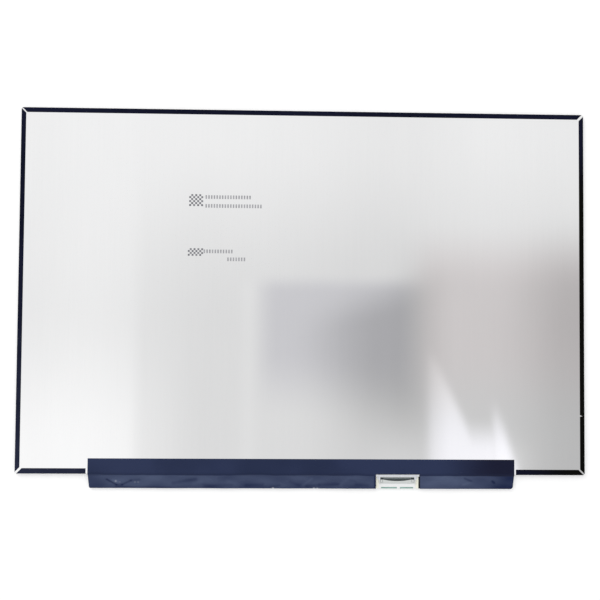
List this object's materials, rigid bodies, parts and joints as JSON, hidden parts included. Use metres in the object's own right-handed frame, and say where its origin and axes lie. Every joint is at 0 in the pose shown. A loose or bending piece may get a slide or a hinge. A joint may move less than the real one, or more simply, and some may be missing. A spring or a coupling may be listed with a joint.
{
  "type": "laptop screen panel",
  "caption": "Slim liquid-crystal laptop screen panel lying face down: pale pressed back plate, dark edge tapes, and a tape-covered control board with a cable connector along the lower edge.",
  "frame": {"origin": "on the front plane of the screen, in the middle of the outline, with the panel lying face down", "axes": "+X along the lower edge, +Y towards the top edge of the screen, +Z from the screen to the rear"},
  "size_m": [0.3066, 0.2046, 0.0022],
  "materials": {
    "satin_plate": "satin",
    "edge_film": "semi-gloss tape",
    "cover_film": "glossy tape",
    "black_tape": "matt",
    "frame_plastic": "fine texture",
    "screen_film": "anti-glare",
    "screen_glass": "polished",
    "optical_film": "translucent",
    "light_guide": "clear",
    "white_film": "white",
    "amber_flex": "satin",
    "led_resin": "matt",
    "board_mask": "solder mask",
    "plated_land": "plated",
    "chip_epoxy": "matt",
    "driver_silicon": "polished",
    "inductor_ferrite": "matt",
    "capacitor_ceramic": "matt",
    "resistor_ceramic": "matt",
    "connector_resin": "moulded",
    "shell_steel": "satin",
    "contact_plating": "plated",
    "latch_resin": "moulded"
  },
  "bodies": {
    "root": {"back_plate": "satin_plate", "mid_frame": "frame_plastic", "cell_rim_tape": "black_tape", "front_polarizer": "screen_film", "colour_filter_glass": "screen_glass", "array_glass": "screen_glass", "rear_polarizer": "screen_film", "upper_prism_sheet": "optical_film", "lower_prism_sheet": "optical_film", "diffuser_sheet": "optical_film", "light_guide_plate": "light_guide", "reflector_sheet": "white_film", "led_flex": "amber_flex", "led_flex_tape": "black_tape", "light_bar_leds": "led_resin", "edge_tape_top": "edge_film", "edge_tape_left": "edge_film", "edge_tape_right": "edge_film", "edge_tape_lower_left": "edge_film", "edge_tape_lower_right": "edge_film", "board_cover_tape": "cover_film", "control_board": "board_mask", "board_lands": "plated_land", "source_film_1": "amber_flex", "source_film_2": "amber_flex", "source_film_3": "amber_flex", "source_film_4": "amber_flex", "source_driver_1": "driver_silicon", "source_driver_2": "driver_silicon", "source_driver_3": "driver_silicon", "source_driver_4": "driver_silicon", "connector_housing": "connector_resin", "connector_shell": "shell_steel", "connector_contacts": "contact_plating", "timing_controller": "chip_epoxy", "power_converter": "chip_epoxy", "backlight_driver": "chip_epoxy", "level_shifter": "chip_epoxy", "memory_chip": "chip_epoxy", "power_inductors": "inductor_ferrite", "ceramic_capacitors": "capacitor_ceramic", "chip_resistors": "resistor_ceramic", "backlight_socket": "connector_resin", "backlight_socket_latch": "latch_resin", "backlight_socket_contacts": "contact_plating"}
  },
  "joints": []
}
